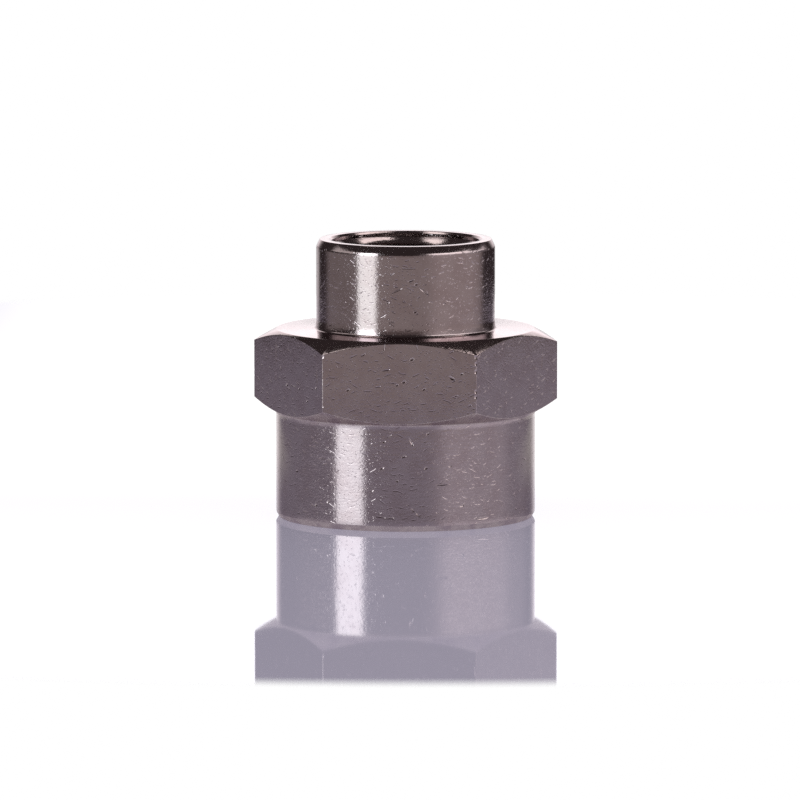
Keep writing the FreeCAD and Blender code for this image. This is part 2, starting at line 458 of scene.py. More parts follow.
class NickCutter:
    """Cuts one batch of dents into the body, with copies of one lens-shaped tool."""

    points_round = 10
    rings = 6
    # How far out the level lines start that look for the surface
    reach = 30 * MM
    # Strewn dents: length in millimetres, width and depth as shares of it, and lean in degrees
    strewn_size = (0.12, 0.34)
    strewn_narrowness = (0.35, 0.9)
    strewn_depth_share = 0.1
    strewn_lean = 40.0

    def __init__(self, piece: Object) -> None:
        """Make the first tool.

        Args:
            piece: the body that the dents are cut into.
        """
        self.piece = piece
        self.tools: list[Object] = []
        bpy.ops.mesh.primitive_uv_sphere_add(
            segments=self.points_round,
            ring_count=self.rings,
            radius=1.0,
            rotation=(0.0, math.pi / 2, 0.0),
        )
        self.pattern = bpy.context.object
        self.pattern.name = "nick_tool"
        settle(self.pattern)

    def place(self, nick: Nick) -> None:
        """Put one copy of the tool where a level line from outside first meets the body.

        Args:
            nick: the dent's place, sizes and lean.
        """
        out = round_about(nick.around)
        start = out * self.reach + Vector((0.0, 0.0, nick.height * MM))
        found, place, normal, _ = self.piece.ray_cast(start, -out)
        if not found:
            return
        level = Vector((0.0, 0.0, 1.0)).cross(normal).normalized()
        up = normal.cross(level)
        lean = math.radians(nick.lean)
        along = level * math.cos(lean) + up * math.sin(lean)
        across = normal.cross(along)
        halves = (nick.length / 2 * MM, nick.width / 2 * MM, nick.depth * MM)
        columns = [axis * size for axis, size in zip((along, across, normal), halves)]
        matrix = Matrix(columns).transposed().to_4x4()
        matrix.translation = place
        tool = self.pattern.copy()
        tool.data = self.pattern.data.copy()
        tool.data.transform(matrix)
        bpy.context.scene.collection.objects.link(tool)
        self.tools.append(tool)

    def strew(self, chance: random.Random, spots: list[Spot]) -> None:
        """Place one small dent of random size and direction at each spot.

        Args:
            chance: the source of random numbers.
            spots: where the dents go.
        """
        for around, height in spots:
            size = chance.uniform(*self.strewn_size)
            width = size * chance.uniform(*self.strewn_narrowness)
            lean = chance.gauss(0.0, self.strewn_lean)
            self.place(Nick(around, height, size, lean, width, self.strewn_depth_share * size))

    def cut(self) -> int:
        """Cut every dent placed so far.

        Returns:
            How many dents were cut.
        """
        bpy.data.objects.remove(self.pattern)
        make_active(self.tools[0])
        for tool in self.tools:
            tool.select_set(True)
        bpy.ops.object.join()
        combine(self.piece, bpy.context.object, "DIFFERENCE")
        return len(self.tools)


def band_spots(
    chance: random.Random, around: tuple[float, float], height: tuple[float, float], count: int
) -> list[Spot]:
    """Places strewn evenly over a band that has these ends round the axis and these heights."""
    return [(chance.uniform(*around), chance.uniform(*height)) for _ in range(count)]


# The body

# How many parts the flared foot and the rounded countersink have in the section
FOOT_RINGS = 4
MOUTH_RINGS = 4
# Dents along a curved edge reach this many degrees to each side of the flat's middle
ARC_REACH = 28.0
# Dents on the flats and corners lie between these heights, in millimetres
FLAT_HEIGHTS = (11.2, 15.8)
# Where strewn dents start and end round the axis, in degrees from the front
BACK_HALF = (90, 270)
BACK_AND_SIDES = (60, 300)
ALL_ROUND = (0, 360)
# A face belongs to a flat if the cosine between their directions is above this
SAME_DIRECTION = 0.9999


@dataclass(frozen=True)
class Ring:
    """One corner of the turned section: how far out from the axis, and how high."""

    out: float
    up: float

    def holds(self, place: Vector) -> bool:
        """Whether a point lies on this ring."""
        away = math.hypot(place.x, place.y)
        return abs(away - self.out) < CLOSE and abs(place.z - self.up) < CLOSE


@dataclass(frozen=True)
class EdgeBreak:
    """A turned edge that is rounded a little."""

    ring: Ring
    size: float
    segments: int = 3


@dataclass(frozen=True)
class Cone:
    """A turned chamfer: where it starts, and how much it rises per length outwards."""

    radius: float
    level: float
    slope: float

    def height_at(self, away: float) -> float:
        """The cone's height this far from the axis."""
        return self.level + (away - self.radius) * self.slope


@dataclass
class CouplingBody:
    """The whole coupling, made in the order that a lathe makes it.

    Attributes:
        flat_distance: from the axis to a flat of the hexagon.
        length: from the large end's face to the small end's.
        large_bore: radius that the large thread is cut in.
        small_bore: radius that the small thread is cut in.
        piece: the mesh object, once it is turned.

    The other values are the sizes of the turned section, how soft its edges are, and how finely
    it is meshed and shaded.
    """

    flat_distance: float
    length: float
    large_bore: float
    small_bore: float
    large_radius: float = 11.825 * MM
    small_radius: float = 8.15 * MM
    large_end_length: float = 9.65 * MM
    small_end_length: float = 8.2 * MM
    under_chamfer_degrees: float = 30.0
    top_chamfer_degrees: float = 29.0
    shoulder_inset: float = 0.25 * MM
    root_fillet: float = 0.15 * MM
    step_under_shoulder: float = 3.7 * MM
    drill_point_degrees: float = 118.0
    large_sink: float = 1.35 * MM
    small_sink: float = 1.075 * MM
    mouth_bevel: float = 0.21 * MM
    mouth_step: float = 0.28 * MM
    mouth_bulge: float = 0.06 * MM
    foot_height: float = 0.9 * MM
    foot_lean_degrees: float = 10.0
    first_turn_depth: float = 1.44 * MM
    large_rim_height: float = 0.5 * MM
    large_rim_width: float = 0.28 * MM
    small_rim_height: float = 0.7 * MM
    small_rim_width: float = 0.33 * MM
    edge_softness: float = 0.05 * MM
    corner_softness: float = 0.08 * MM
    arc_softness: float = 0.05 * MM
    rim_side_softness: float = 0.15 * MM
    bar_spare: float = 0.6 * MM
    ring_spacing: float = 0.5 * MM
    steps: int = 480
    smooth_under_degrees: float = 24.0
    level_under_degrees: float = 10.0
    piece: Object | None = None

    @property
    def shoulder(self) -> float:
        """Height of the flat shoulder on top of the hexagon."""
        return self.length - self.small_end_length

    @property
    def corner_radius(self) -> float:
        """From the axis to a corner of the hexagon."""
        return self.flat_distance / math.cos(math.radians(SIDE_TURN / 2))

    @property
    def step(self) -> float:
        """Height at which the large bore starts to close."""
        return self.shoulder - self.step_under_shoulder

    @property
    def top_cone(self) -> Cone:
        """The chamfer on top of the hexagon."""
        slope = -math.tan(math.radians(self.top_chamfer_degrees))
        return Cone(self.flat_distance - self.shoulder_inset, self.shoulder, slope)

    @property
    def under_cone(self) -> Cone:
        """The chamfer under the hexagon."""
        slope = math.tan(math.radians(self.under_chamfer_degrees))
        return Cone(self.large_radius, self.large_end_length, slope)

    def foot(self) -> list[Ring]:
        """The small end's flared foot, from the shoulder up, as the tool's nose leaves it."""
        lean = math.radians(self.foot_lean_degrees)
        radius = self.foot_height / math.sin(lean)
        rings = []
        for step in range(FOOT_RINGS):
            above = self.foot_height * step / FOOT_RINGS
            turn = math.asin((self.foot_height - above) / radius)
            flare = radius * (1 - math.cos(turn))
            rings.append(Ring(self.small_radius + flare, self.shoulder + above))
        return rings

    def mouth_cone(self, top: Ring, foot: Ring) -> list[Ring]:
        """The small countersink's slightly rounded slope, between its top and its foot."""
        rings = []
        for step in range(1, MOUTH_RINGS):
            share = step / MOUTH_RINGS
            # A parabola that is highest half way, square to a slope of 45 degrees
            bulge = 4 * self.mouth_bulge * share * (1 - share) / math.sqrt(2)
            out = top.out + (foot.out - top.out) * share - bulge
            rings.append(Ring(out, top.up + (foot.up - top.up) * share + bulge))
        return rings

    def section(self) -> dict[str, Ring]:
        """The corners of the turned section: out over the large end's face, up, and down inside."""
        clear = self.corner_radius + self.bar_spare
        drill_slope = math.tan(math.radians(self.drill_point_degrees / 2))
        drilled = self.step + (self.large_bore - self.small_bore) / drill_slope
        mouth = self.small_bore + self.small_sink
        step_top = Ring(mouth - self.mouth_bevel, self.length - self.mouth_bevel)
        step_foot = Ring(step_top.out, step_top.up - self.mouth_step)
        mouth_foot = Ring(self.small_bore, step_foot.up - (step_foot.out - self.small_bore))
        root, *foot = self.foot()
        cone = self.mouth_cone(step_foot, mouth_foot)
        return {
            "sink edge": Ring(self.large_bore + self.large_sink, 0.0),
            "base rim": Ring(self.large_radius - self.large_rim_width, 0.0),
            "base rim side": Ring(self.large_radius, self.large_rim_height),
            "under root": Ring(self.large_radius, self.large_end_length),
            "bar low": Ring(clear, self.under_cone.height_at(clear)),
            "bar high": Ring(clear, self.top_cone.height_at(clear)),
            "shoulder edge": Ring(self.top_cone.radius, self.shoulder),
            "root": root,
            **{f"foot {count}": ring for count, ring in enumerate(foot)},
            "foot top": Ring(self.small_radius, self.shoulder + self.foot_height),
            "small rim side": Ring(self.small_radius, self.length - self.small_rim_height),
            "small rim": Ring(self.small_radius - self.small_rim_width, self.length),
            "mouth": Ring(mouth, self.length),
            "mouth step top": step_top,
            "mouth step foot": step_foot,
            **{f"mouth cone {count}": ring for count, ring in enumerate(cone)},
            "mouth foot": mouth_foot,
            "drilled": Ring(self.small_bore, drilled),
            "bored": Ring(self.large_bore, self.step),
            "sink foot": Ring(self.large_bore, self.large_sink),
        }

    def breaks(self) -> list[EdgeBreak]:
        """The turned edges that are rounded, with the fillet at the small end's root."""
        rings = self.section()
        soft = self.edge_softness
        rims = ("base rim", "base rim side", "small rim")
        inside = ("sink edge", "mouth", "mouth foot", "sink foot")
        return [
            EdgeBreak(rings["root"], self.root_fillet, segments=4),
            EdgeBreak(rings["under root"], 2 * soft),
            EdgeBreak(rings["shoulder edge"], soft),
            EdgeBreak(rings["small rim side"], self.rim_side_softness, segments=4),
            *(EdgeBreak(rings[name], soft) for name in rims),
            *(EdgeBreak(rings[name], soft, segments=2) for name in inside),
        ]

    def turn(self) -> None:
        """Carry the section round the axis, ring by ring, and close it through the bores."""
        section = list(self.section().values())
        first = section[0]
        bpy.ops.mesh.primitive_circle_add(
            vertices=self.steps, radius=first.out, location=(0.0, 0.0, first.up)
        )
        self.piece = bpy.context.object
        self.piece.name = PIECE
        self.piece.data.name = PIECE
        settle(self.piece)
        start_editing(self.piece, "EDGE")
        bpy.ops.mesh.select_all(action="SELECT")
        for here, there in zip(section, section[1:] + section[:1]):
            outer_wall = here.out == there.out >= self.small_radius and there.up > here.up
            parts = math.ceil((there.up - here.up) / self.ring_spacing) if outer_wall else 1
            rise = (0.0, 0.0, (there.up - here.up) / parts)
            for _ in range(parts):
                bpy.ops.mesh.extrude_edges_move(TRANSFORM_OT_translate={"value": rise})
            grow = there.out / here.out
            bpy.ops.transform.resize(value=(grow, grow, 1.0), center_override=(0.0, 0.0, 0.0))
        stop_editing()
        tidy_shell(self.piece)

    def mill_flats(self) -> None:
        """Cut the six flats of the hexagon, two of them square to the Y axis."""
        start_editing(self.piece)
        for out in FLAT_DIRECTIONS:
            bpy.ops.mesh.select_all(action="SELECT")
            bpy.ops.mesh.bisect(
                plane_co=out * self.flat_distance,
                plane_no=out,
                use_fill=True,
                clear_outer=True,
                threshold=MERGED,
            )
        stop_editing()

    def on_one_flat(self, first: Vector, second: Vector) -> bool:
        """Whether both ends of an edge lie on the same flat of the hexagon."""
        return any(
            all(abs(place.dot(out) - self.flat_distance) < CLOSE for place in (first, second))
            for out in FLAT_DIRECTIONS
        )

    def round_hexagon(self) -> None:
        """Round the hexagon's corners, and its curved edges much less."""
        mesh = self.piece.data
        weights = mesh.attributes.new("bevel_weight_edge", "FLOAT", "EDGE")
        for edge in mesh.edges:
            first, second = (mesh.vertices[end].co for end in edge.vertices)
            if self.on_one_flat(first, second):
                upright = (first - second).xy.length < CLOSE
                softness = self.corner_softness if upright else self.arc_softness
                weights.data[edge.index].value = softness / self.corner_softness
        make_active(self.piece)
        bevel = self.piece.modifiers.new("Hexagon edges", "BEVEL")
        bevel.limit_method = "WEIGHT"
        bevel.width = self.corner_softness
        bevel.segments = 2
        bevel.use_clamp_overlap = False
        bpy.ops.object.modifier_apply(modifier=bevel.name)
        mesh = self.piece.data
        mesh.attributes.remove(mesh.attributes["bevel_weight_edge"])

    def break_edges(self) -> None:
        """Round the hexagon's edges and the turned ones."""
        self.round_hexagon()
        for edge_break in self.breaks():
            ring = edge_break.ring
            select_edges(self.piece, lambda one, two: ring.holds(one) and ring.holds(two))
            bpy.ops.mesh.bevel(
                offset=edge_break.size, segments=edge_break.segments, clamp_overlap=False
            )
            stop_editing()
        tidy_shell(self.piece)

    def cut_threads(self, large: PipeThread, small: PipeThread) -> None:
        """Tap both ports.

        Args:
            large: the thread of the large end, which stops short of the step.
            small: the thread of the small end, which runs out into the step.
        """
        lead = LEAD_TURNS * large.pitch
        half_turn = large.pitch / 2
        full_depth = self.step - lead - half_turn
        groove = large.coil(-TURNS_PAST_MOUTH * large.pitch, self.step - half_turn)
        combine(groove, Tap(large, full_depth, lead).envelope(), "INTERSECT")
        combine(self.piece, groove, "DIFFERENCE")
        # A quarter turn before the back, where the first whole turn is seen below the countersink
        first_turn = self.length - self.first_turn_depth - small.pitch / 4
        turns_down = math.ceil((first_turn - self.step) / small.pitch)
        past_mouth = self.length + TURNS_PAST_MOUTH * small.pitch
        groove = small.coil(first_turn - turns_down * small.pitch, past_mouth)
        combine(self.piece, groove, "DIFFERENCE")

    def arc_spots(self, chance: random.Random, cone: Cone, count: int) -> list[Spot]:
        """Places along the curved edges where a cone meets the flats.

        Args:
            chance: the source of random numbers.
            cone: the chamfer above or below the flats.
            count: how many places.

        Returns:
            The places.
        """
        spots = []
        for _ in range(count):
            off_centre = chance.uniform(-ARC_REACH, ARC_REACH)
            away = self.flat_distance / math.cos(math.radians(off_centre))
            side = chance.randrange(SIDES)
            spots.append((SIDE_TURN * side + off_centre, cone.height_at(away) / MM))
        return spots

    def corner_spots(self, chance: random.Random, count: int) -> list[Spot]:
        """Places on the hexagon's upright corners."""
        spots = []
        for _ in range(count):
            side = chance.randrange(SIDES)
            spots.append((SIDE_TURN * (side + 0.5), chance.uniform(*FLAT_HEIGHTS)))
        return spots

    def wear(self, seed: int = 5) -> int:
        """Cut the dents that the photograph shows, and a like scatter where it doesn't reach.

        Args:
            seed: start of the random numbers.

        Returns:
            How many dents were cut.
        """
        chance = random.Random(seed)
        large = (self.large_rim_height / MM, (self.large_end_length - self.large_rim_height) / MM)
        rim = (self.length - self.small_rim_height) / MM
        small = ((self.shoulder + self.foot_height) / MM, rim)
        batches = (
            self.arc_spots(chance, self.top_cone, count=40),
            self.arc_spots(chance, self.under_cone, count=20),
            self.corner_spots(chance, count=20),
            band_spots(chance, BACK_HALF, FLAT_HEIGHTS, count=28),
            band_spots(chance, BACK_AND_SIDES, large, count=30),
            band_spots(chance, BACK_AND_SIDES, small, count=18),
            band_spots(chance, ALL_ROUND, (rim, rim), count=26),
        )
        cutter = NickCutter(self.piece)
        for nick in (*LARGE_END_NICKS, *SMALL_END_NICKS, *HEXAGON_NICKS):
            cutter.place(nick)
        dents = cutter.cut()
        # Batch by batch, as the cut can stall with too many tools at once
        for spots in batches:
            cutter = NickCutter(self.piece)
            cutter.strew(chance, spots)
            dents += cutter.cut()
        return dents

    def zone_of(self, face: MeshPolygon) -> Zone:
        """Which tool left a face, by its place and direction."""
        centre = face.center
        away = math.hypot(centre.x, centre.y)
        in_large_port = self.small_sink < centre.z < self.step
        if in_large_port and away < self.large_bore + self.large_sink - CLOSE:
            return Zone.THREAD
        if away < self.small_bore + self.small_sink / 2 and centre.z > self.step:
            return Zone.THREAD
        if abs(face.normal.z) > math.sin(math.radians(self.level_under_degrees)):
            return Zone.TOP if face.normal.z > 0 else Zone.UNDER
        flat = any(face.normal.dot(out) > SAME_DIRECTION for out in FLAT_DIRECTIONS)
        if flat and away > self.large_radius + self.edge_softness:
            return Zone.FLAT
        return Zone.TURNED

    def dress(self, materials: dict[Zone, Material]) -> None:
        """Shade the piece and give each zone its finish.

        Args:
            materials: one material for each zone.
        """
        make_active(self.piece)
        bpy.ops.object.shade_smooth_by_angle(angle=math.radians(self.smooth_under_degrees))
        # The large faces keep their own direction right up to the rounded edges
        weighted = self.piece.modifiers.new("Weighted normals", "WEIGHTED_NORMAL")
        weighted.keep_sharp = True
        bpy.ops.object.modifier_apply(modifier=weighted.name)
        self.piece.data.materials.clear()
        for zone in Zone:
            self.piece.data.materials.append(materials[zone])
        for face in self.piece.data.polygons:
            face.material_index = self.zone_of(face).value


# Node helpers

# Linear red, green and blue
Colour = tuple[float, float, float]


@dataclass(frozen=True)
class Noise:
    """One kind of soft noise.

    Attributes:
        scale: how many swells there are to a unit of length.
        detail: how many finer layers lie over them.
        roughness: how strong those layers are.
    """

    scale: float
    detail: float
    roughness: float


class NodeWork:
    """Adds nodes to one tree and joins them, in the way that a formula is written."""

    def __init__(self, tree: NodeTree) -> None:
        """Start on an empty tree.

        Args:
            tree: the node tree of a material or world.
        """
        self.tree = tree
        tree.nodes.clear()

    def add(self, kind: str, inputs: dict | None = None, **settings: object) -> Node:
        """Add one node.

        Args:
            kind: the node's type.
            inputs: values or sockets for its inputs, by name or number.
            settings: the node's own properties.

        Returns:
            The new node.
        """
        node = self.tree.nodes.new(kind)
        for name, value in settings.items():
            setattr(node, name, value)
        for name, value in (inputs or {}).items():
            self.feed(node.inputs[name], value)
        return node

    def feed(self, socket: NodeSocket, value: object) -> None:
        """Join a socket to an input, or set the input to a plain value."""
        if isinstance(value, NodeSocket):
            self.tree.links.new(value, socket)
        else:
            socket.default_value = value

    def math(self, operation: str, *values: object) -> NodeSocket:
        """One number worked out from others."""
        return self.add("ShaderNodeMath", dict(enumerate(values)), operation=operation).outputs[0]

    def vector(self, operation: str, *values: object, output: str = "Vector") -> NodeSocket:
        """One vector worked out from others, or a number where the output is Value."""
        node = self.add("ShaderNodeVectorMath", dict(enumerate(values)), operation=operation)
        return node.outputs[output]

    def dot(self, first: object, second: object) -> NodeSocket:
        """How far two vectors point the same way."""
        return self.vector("DOT_PRODUCT", first, second, output="Value")

    def length(self, value: object) -> NodeSocket:
        """How long a vector is."""
        return self.vector("LENGTH", value, output="Value")

    def ramp(
        self, value: object, low: float, high: float, start: float = 0.0, end: float = 1.0
    ) -> NodeSocket:
        """A smooth step from start, up to the low value, to end, from the high value on."""
        inputs = {"Value": value, "From Min": low, "From Max": high, "To Min": start, "To Max": end}
        node = self.add("ShaderNodeMapRange", inputs, interpolation_type="SMOOTHSTEP")
        return node.outputs["Result"]

    def noise(self, place: object, kind: Noise) -> NodeSocket:
        """Soft noise between 0 and 1."""
        sizes = {"Scale": kind.scale, "Detail": kind.detail, "Roughness": kind.roughness}
        return self.add("ShaderNodeTexNoise", {"Vector": place, **sizes}).outputs["Fac"]

    def tint(self, share: object, first: Colour, second: Colour) -> NodeSocket:
        """A colour between two others, the second one where the share is 1."""
        inputs = {"Factor": share, "A": (*first, 1.0), "B": (*second, 1.0)}
        return self.add("ShaderNodeMix", inputs, data_type="RGBA").outputs["Result"]

    def mix(self, share: object, first: Node, second: Node) -> Node:
        """A shader between two others, the second one where the share is 1."""
        inputs = {0: share, 1: first.outputs[0], 2: second.outputs[0]}
        return self.add("ShaderNodeMixShader", inputs)


# Finishes

SWELLS = Noise(0.9, 2.0, 0.5)
GRAINS = Noise(5.0, 1.5, 0.6)
STAINS = Noise(0.55, 4.0, 0.6)
DULL_PATCHES = Noise(2.6, 4.0, 0.65)
# Between which two heights of its noise a stain or a dull patch sets in
STAIN_EDGE = (0.42, 0.66)
DULL_EDGE = (0.35, 0.7)
# The tool's lines, on a place that is stretched along them
LINES = Noise(1.0, 3.0, 0.6)
TURNED_LINES_PER_MM = 5.0
TURNED_CHANGES_PER_MM = 0.7
# Lines on level faces lie this much less close together
LEVEL_LINES_SHARE = 0.8
# Drawn lines: close across the bar, long along it
DRAWN_LINES_PER_MM = (9.0, 9.0, 0.5)
# The shortest scratch of a field, and how much longer the longest is, as shares of its length
SHORTEST_SCRATCH = 0.35
SCRATCH_SPREAD = 0.8


@dataclass(frozen=True)
class ScratchField:
    """Fine scratches strewn over a surface, one to a cell of a random pattern.

    Attributes:
        cells_per_mm: how close the cells are.
        length: of a scratch, in millimetres.
        width: of a scratch, in millimetres.
        share: how many of the cells have a scratch.
        depth: in metres.
        lean_degrees: how far a scratch leans from level at most, to either side.
    """

    cells_per_mm: float
    length: float
    width: float
    share: float
    depth: float
    lean_degrees: float = 60.0

    def pits(self, work: NodeWork, place: object, around: object, upward: object) -> NodeSocket:
        """The scratches as a height between 0, untouched, and 1, at their deepest.

        Args:
            work: the node tree to add to.
            place: the place on the piece, in millimetres.
            around: the level direction along the surface.
            upward: the direction along the surface square to that.

        Returns:
            The depth as a share.
        """
        cells = work.add(
            "ShaderNodeTexVoronoi", {"Vector": place, "Scale": self.cells_per_mm, "Randomness": 1.0}
        )
        away = work.vector("SUBTRACT", place, cells.outputs["Position"])
        chance = work.add("ShaderNodeSeparateColor", {"Color": cells.outputs["Color"]})
        lean = math.radians(self.lean_degrees)
        turn = work.math("MULTIPLY_ADD", chance.outputs["Red"], 2 * lean, -lean)
        sine = work.math("SINE", turn)
        cosine = work.math("COSINE", turn)
        level = work.dot(away, around)
        rise = work.dot(away, upward)
        along = work.math("MULTIPLY_ADD", level, cosine, work.math("MULTIPLY", rise, sine))
        off_level = work.math("MULTIPLY", level, sine)
        across = work.math("SUBTRACT", work.math("MULTIPLY", rise, cosine), off_level)
        size = work.math("MULTIPLY_ADD", chance.outputs["Blue"], SCRATCH_SPREAD, SHORTEST_SCRATCH)
        far_along = work.math("DIVIDE", along, work.math("MULTIPLY", size, self.length / 2))
        far_across = work.math("DIVIDE", across, self.width / 2)
        squares = [work.math("POWER", far, 2.0) for far in (far_along, far_across)]
        reach = work.math("ADD", *squares)
        pit = work.ramp(reach, 0.0, 1.0, 1.0, 0.0)
        there = work.math("LESS_THAN", chance.outputs["Green"], self.share)
        return work.math("MULTIPLY", pit, there)


@dataclass(frozen=True)
class PlatedFinish:
    """Satin nickel plate over one kind of machined surface.

    Attributes:
        name: of the material.
        colour: of the clean plate.
        haze: of the plate where it is slightly stained.
        edge_tint: what the plate mirrors at a glancing angle.
        roughness: of the clean plate.
        roughness_spread: how much rougher the dull patches are.
        grain: depth of the plate's fine orange peel, in metres.
        swell: depth of its broad unevenness, in metres.
        tool_marks: depth of the lines that the tool left, in metres.
        lines_along_bar: whether the lines run along the bar, as drawing leaves them, or round it.
        scratches: the fields of fine scratches on it.
    """

    name: str
    colour: Colour = (0.475, 0.41, 0.40)
    haze: Colour = (0.44, 0.37, 0.36)
    edge_tint: Colour = (0.82, 0.78, 0.80)
    roughness: float = 0.11
    roughness_spread: float = 0.05
    grain: float = 0.007 * MM
    swell: float = 0.008 * MM
    tool_marks: float = 0.005 * MM
    lines_along_bar: bool = False
    scratches: tuple[ScratchField, ...] = ()

    def lines(self, work: NodeWork, place: object) -> NodeSocket:
        """The tool's fine lines, as a height between 0 and 1."""
        if self.lines_along_bar:
            return work.noise(work.vector("MULTIPLY", place, DRAWN_LINES_PER_MM), LINES)
        parts = work.add("ShaderNodeSeparateXYZ", {"Vector": place}).outputs
        away = work.length(work.vector("MULTIPLY", place, (1.0, 1.0, 0.0)))
        feed = work.math("MULTIPLY_ADD", away, LEVEL_LINES_SHARE, parts["Z"])
        stretched = {
            "X": work.math("MULTIPLY", parts["X"], TURNED_CHANGES_PER_MM),
            "Y": work.math("MULTIPLY", parts["Y"], TURNED_CHANGES_PER_MM),
            "Z": work.math("MULTIPLY", feed, TURNED_LINES_PER_MM),
        }
        return work.noise(work.add("ShaderNodeCombineXYZ", stretched).outputs["Vector"], LINES)

    def bump(self, work: NodeWork, height: object, depth: float, below: object | None) -> NodeSocket:
        """One layer of relief on top of another.

        Args:
            work: the node tree to add to.
            height: between 0 and 1.
            depth: what a height of 1 stands for, in metres.
            below: the normal of the layer underneath.

        Returns:
            The new normal.
        """
        inputs = {"Height": height, "Strength": 1.0, "Distance": depth}
        if below is not None:
            inputs["Normal"] = below
        return work.add("ShaderNodeBump", inputs).outputs["Normal"]

    def material(self) -> Material:
        """The finish as a material.

        Returns:
            A material whose nodes read the piece's own coordinates.
        """
        material = bpy.data.materials.new(self.name)
        material.use_nodes = True
        work = NodeWork(material.node_tree)
        coordinates = work.add("ShaderNodeTexCoord").outputs["Object"]
        place = work.vector("MULTIPLY", coordinates, (1 / MM,) * 3)
        facing = work.add("ShaderNodeNewGeometry").outputs["Normal"]
        around = work.vector("NORMALIZE", work.vector("CROSS_PRODUCT", (0.0, 0.0, 1.0), place))
        upward = work.vector("CROSS_PRODUCT", facing, around)

        normal = self.bump(work, work.noise(place, SWELLS), self.swell, None)
        normal = self.bump(work, self.lines(work, place), self.tool_marks, normal)
        normal = self.bump(work, work.noise(place, GRAINS), self.grain, normal)
        for field in self.scratches:
            pits = field.pits(work, place, around, upward)
            normal = self.bump(work, work.math("SUBTRACT", 1.0, pits), field.depth, normal)

        stain = work.ramp(work.noise(place, STAINS), *STAIN_EDGE)
        dull = work.ramp(work.noise(place, DULL_PATCHES), *DULL_EDGE)
        rough = work.math("MULTIPLY_ADD", dull, self.roughness_spread, self.roughness)
        shader = work.add(
            "ShaderNodeBsdfPrincipled",
            {
                "Base Color": work.tint(stain, self.colour, self.haze),
                "Metallic": 1.0,
                "Specular Tint": (*self.edge_tint, 1.0),
                "Roughness": rough,
                "Normal": normal,
            },
        )
        work.add("ShaderNodeOutputMaterial", {"Surface": shader.outputs["BSDF"]})
        return material


# The studio

# The arccosine fails past 1, which a cosine can reach by rounding
HIGHEST_COSINE = 0.99999


@dataclass(frozen=True)
class LightBank:
    """One lit stretch of the studio, as the plate mirrors it.

    Attributes:
        around: where its middle is, in degrees from the front.
        half_width: to each side of the middle, in degrees.
        side_blur: how softly its sides end, in degrees.
        low: elevation of its lower edge, in degrees.
        high: elevation of its upper edge, in degrees.
        end_blur: how softly those edges end, in degrees.
        colour: its brightness.
    """

    around: float
    half_width: float
    side_blur: float
    low: float
    high: float
    end_blur: float
    colour: Colour

    def share(self, work: NodeWork, direction: object, elevation: object) -> NodeSocket:
        """How much of this bank is seen in a direction.

        Args:
            work: the node tree to add to.
            direction: the level part of the direction, of length 1.
            elevation: of the direction, in degrees.

        Returns:
            A number from 0 to 1.
        """
        cosine = work.dot(direction, tuple(round_about(self.around)))
        cosine = work.math("MINIMUM", cosine, HIGHEST_COSINE)
        apart = work.math("DEGREES", work.math("ARCCOSINE", cosine))
        edge = (self.half_width - self.side_blur, self.half_width + self.side_blur)
        sideways = work.ramp(apart, *edge, 1.0, 0.0)
        above = work.ramp(elevation, self.low - self.end_blur, self.low + self.end_blur)
        below = work.ramp(elevation, self.high - self.end_blur, self.high + self.end_blur, 1.0, 0.0)
        return work.math("MULTIPLY", sideways, work.math("MULTIPLY", above, below))


@dataclass(frozen=True)
class Studio:
    """Soft light by direction: white behind the coupling, a strip to its left, less to its right.

    Attributes:
        banks: the lit stretches, each added to the room.
        room: what the metal mirrors where there is no bank.
        backdrop: how bright the camera sees the world.
        fill: how bright the world is to the floor.
    """

    banks: tuple[LightBank, ...]
    room: Colour = (0.045, 0.035, 0.037)
    backdrop: float = 1.0
    fill: float = 1.0

    def build(self) -> None:
        """Make the world, which camera, floor and metal each see in their own way."""
        world = bpy.data.worlds.new("studio")
        bpy.context.scene.world = world
        world.use_nodes = True
        world.cycles.sampling_method = "NONE"
        work = NodeWork(world.node_tree)
        direction = work.add("ShaderNodeTexCoord").outputs["Generated"]
        level = work.vector("NORMALIZE", work.vector("MULTIPLY", direction, (1.0, 1.0, 0.0)))
        height = work.add("ShaderNodeSeparateXYZ", {"Vector": direction}).outputs["Z"]
        elevation = work.math("DEGREES", work.math("ARCSINE", height))
        light: object = self.room
        for bank in self.banks:
            share = bank.share(work, level, elevation)
            light = work.vector("MULTIPLY_ADD", share, bank.colour, light)
        mirrored = work.add("ShaderNodeBackground", {"Color": light})
        seen = work.add("ShaderNodeBackground", {"Color": (self.backdrop,) * 3 + (1.0,)})
        spread = work.add("ShaderNodeBackground", {"Color": (self.fill,) * 3 + (1.0,)})
        path = work.add("ShaderNodeLightPath")
        by_ray = work.mix(path.outputs["Is Diffuse Ray"], mirrored, spread)
        by_eye = work.mix(path.outputs["Is Camera Ray"], by_ray, seen)
        work.add("ShaderNodeOutputWorld", {"Surface": by_eye.outputs[0]})


